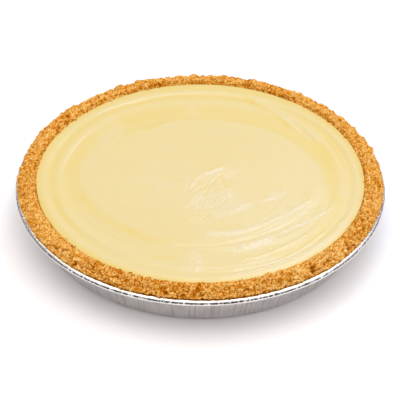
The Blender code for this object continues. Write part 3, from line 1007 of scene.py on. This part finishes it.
def fine_height(x, y):
    """The strokes, scrapes and tears of the cream that stand on its broad swirl, in mm."""
    beads = flat_noise(x, y, 1.5, SEED + 60)
    total = 0.0
    for rise, width, beaded, line in STROKES:
        total += rise * brushed(x, y, line, width) * (1 + beaded * beads)
    (middle_x, middle_y), reach = SCRAPED
    patch = hump(np.hypot(x - middle_x, 0.8 * (y - middle_y)), 0, reach)
    across, along = 0.8 * x - 0.6 * y, 0.6 * x + 0.8 * y
    combed = flat_noise(across / 1.4, along / 6.0, 1.0, SEED + 61)
    combed += 0.6 * flat_noise(across / 0.9, along / 2.2, 1.0, SEED + 62)
    radius, angle = np.hypot(x, y), np.degrees(np.arctan2(y, x)) % 360
    wander = 1.2 * flat_noise(x, y, 22.0, SEED + 63)
    rings = np.stack([(radius + wander) / RING_SPACING, 0 * radius, angle / 38], axis=-1)
    off_middle = smooth(30, 62, radius) * smooth(101, 96, radius)
    total += SCRAPE_DEPTH * patch * combed
    total += RING_DEPTH * off_middle * soft_noise(rings, 1.0, SEED + 64)
    return total + WAVINESS * flat_noise(x, y, WAVE_LENGTH, SEED + 65)


def paleness(share, turn, x, y):
    """How pale the cream is: near 0 where the spatula bared it most, near 1 on its flat middle, and up to
    about 1.25 where sheen and highlights are painted along the scraped strokes."""
    edge = plateau_edge(turn) - 0.035 * stretch(turn, 132, 17)
    soft = 0.010 + 0.028 * sector(turn, 135, 290, soft=20)
    lip_share, groove_share, wave_share = ring_shares(turn)
    broad = sector(turn, 20, 135, soft=25)
    wave = 0.50 * hump(share, wave_share, 0.017 + 0.016 * broad) * smooth(edge, edge + 0.08, share)
    lip = (0.62 - 0.3 * stretch(turn, 180, 45)) * hump(share, lip_share - 0.006, 0.017)
    groove = 0.27 * hump(share, groove_share, 0.020)
    # Painted sheen: the front half is paler between the plateau and the crust.
    front = 0.60 * sector(turn, 222, 338, soft=50) * smooth(0.55, 0.7, share) * smooth(0.99, 0.93, share)
    ringed = wave + lip - groove
    pale = BARED + (1 - BARED) * smooth(edge + soft, edge - soft, share)
    pale = np.maximum(pale + np.maximum(ringed, 0) - groove, BARED + front + 0.5 * ringed)
    pale -= 0.12 * smooth(lip_share + 0.01, lip_share + 0.03, share)
    for amount, width, line in STREAKS:
        pale += amount * brushed(x, y, line, width)
    # Painted warm light: the cream is yellower at its very edge, from light the crust bounces onto it and
    # the cream carries under its surface.
    pale = np.minimum(pale - 0.35 * smooth(0.975, 0.995, share), PALEST)
    # Painted sheen and highlights, with a sparkle, along the scraped strokes.
    sheen_sparkle = 1 + 1.1 * flat_noise(x, y, 1.2, SEED + 66)
    for amount, width, line in SHEEN_STREAKS:
        pale += amount * sheen_sparkle * brushed(x, y, line, width)
    return pale


def grittiness(share, turn, x, y):
    """How grainy the cream's skin is: 1 and more where it was scraped."""
    (middle_x, middle_y), reach = SCRAPED
    patch = hump(np.hypot(x - middle_x - 6, y - middle_y + 2), 0, 1.15 * reach)
    right = sector(turn, 282, 375, soft=45) * smooth(0.15, 0.45, share)
    return SMOOTHEST + 1.0 * patch + 0.42 * right


def make_cream():
    inner = CREAM_INNER / FILL_RADIUS
    outer_shares = np.linspace(1, inner, round((FILL_RADIUS - CREAM_INNER) / CREAM_SPACING) + 1)
    inner_shares = np.linspace(inner, 0, round(CREAM_INNER / INNER_SPACING) + 1)[1:-1]
    under = FOIL + GAP + CRUST_FLOOR + GAP
    edge = FILL_RADIUS - GAP
    hidden = [
        (edge - FLOOR_INSET, under),
        (edge - KNEE_INSET, FILL_HEIGHT - KNEE_DEPTH),
        (edge, FILL_HEIGHT - SKIRT),
    ]
    angle = np.arange(CREAM_TURNS) * 360 / CREAM_TURNS
    rings = [at(radius, angle, height) for radius, height in hidden]
    pale = [np.full(len(hidden) * CREAM_TURNS, 0.5)]
    grit = [np.full(len(hidden) * CREAM_TURNS, SMOOTHEST)]
    for shares, turns in ((outer_shares, angle), (inner_shares, angle[::2])):
        share, turn = np.meshgrid(shares, turns, indexing="ij")
        x, y, _ = np.moveaxis(at(edge * share, turn, 0) / MM, -1, 0)
        height = FILL_HEIGHT + cream_height(share, turn)
        height += fine_height(x, y) * smooth(1.0, 0.985, share) * MM
        rings += list(at(edge * share, turn, height))
        pale.append(paleness(share, turn, x, y).reshape(-1))
        grit.append(grittiness(share, turn, x, y).reshape(-1))
    piece = ring_piece("cream_filling", rings, cream_material())
    paint(piece, "pale", np.concatenate([*pale, [0.5, 1.0]]))
    paint(piece, "grit", np.concatenate([*grit, [SMOOTHEST, SMOOTHEST]]))
    stands_for(piece, "filling")


# --- floor, light and camera

CAMERA_DISTANCE = 1.0
CAMERA_ELEVATION = 37.44
CAMERA_LENS = 144.75
CAMERA_ROLL = 0.6
LOOK_AT = Vector((0, 0, 20.9 * MM))
LOOK_DOWN, LOOK_LEFT = 0.4945, 0.0128  # how far from there the camera is turned, in degrees

WHITE, WARM, SKY = (1, 1, 1), (1.0, 0.991, 0.944), (0.42, 0.58, 1.0)
# Each is: name, place, width and height in metres, brightness and colour.
PANELS = (
    ("overhead", (0, -0.12, 1.3), 3.0, 2.34, 1.71, WARM),
    ("left", (-1.7, 0.0, 0.75), 2.2, 1.2, 0.48, WHITE),
    ("right", (1.7, 0.0, 0.75), 2.2, 1.2, 0.9, WHITE),
    ("back", (0, 1.75, 0.8), 3.4, 1.3, 0.5, WHITE),
    ("key", (0.34, 0.92, 1.17), 0.62, 0.42, 4.7, SKY),
    ("spark", (0.35, 0.55, 1.15), 0.35, 0.25, 2.0, SKY),
)
ROOM = 0.14
ROOM_COLOUR = (1.0, 0.86, 0.78, 1)
FLOOR_COLOUR = (0.96, 0.94, 0.965, 1)
FLOOR_HALF = 3.0
FLOOR_DROP = 0.02 * MM  # keeps the floor just clear of the tin's base


def panel(name, place, width, height, brightness, colour):
    """A soft light panel facing the pie."""
    data = bpy.data.lights.new(name, "AREA")
    data.shape = "RECTANGLE"
    data.size = width
    data.size_y = height
    data.energy = brightness * math.pi * width * height
    data.color = colour
    lamp = placed(name, data)
    lamp.location = place
    lamp.rotation_euler = (-Vector(place)).to_track_quat("-Z", "Y").to_euler()


def make_floor():
    looks = Looks("floor_paper", roughness=0.9, specular=0.1)
    looks.set("Base Color", FLOOR_COLOUR)
    corners = FLOOR_HALF * np.array([(-1, -1, 0), (1, -1, 0), (1, 1, 0), (-1, 1, 0)])
    floor = mesh_piece("floor", corners, [(0, 1, 2, 3)], looks.material, smoothed=False)
    floor.location.z = -FLOOR_DROP


def make_world():
    world = bpy.data.worlds.new("studio")
    bpy.context.scene.world = world
    world.use_nodes = True
    background = world.node_tree.nodes["Background"]
    background.inputs["Color"].default_value = ROOM_COLOUR
    background.inputs["Strength"].default_value = ROOM


def make_camera():
    data = bpy.data.cameras.new("camera")
    data.lens = CAMERA_LENS
    data.sensor_width = 36
    camera = placed("camera", data)
    elevation = math.radians(CAMERA_ELEVATION)
    away = Vector((0, -math.cos(elevation), math.sin(elevation)))
    facing = (-away).to_track_quat("-Z", "Y").to_matrix().to_4x4()
    turn = (
        Matrix.Rotation(math.radians(CAMERA_ROLL), 4, "Z")
        @ Matrix.Rotation(-math.radians(LOOK_DOWN), 4, "X")
        @ Matrix.Rotation(math.radians(LOOK_LEFT), 4, "Y")
    )
    camera.matrix_world = Matrix.Translation(LOOK_AT + CAMERA_DISTANCE * away) @ facing @ turn
    bpy.context.scene.camera = camera


def set_view():
    view = bpy.context.scene.view_settings
    view.view_transform = "Standard"
    view.look = "None"
    view.exposure = 0
    view.gamma = 1


def main():
    set_view()
    make_camera()
    make_world()
    for each in PANELS:
        panel(*each)
    make_floor()
    make_tin()
    crumb = crumb_material()
    make_crust(crumb)
    make_grains(crumb)
    make_cream()


main()
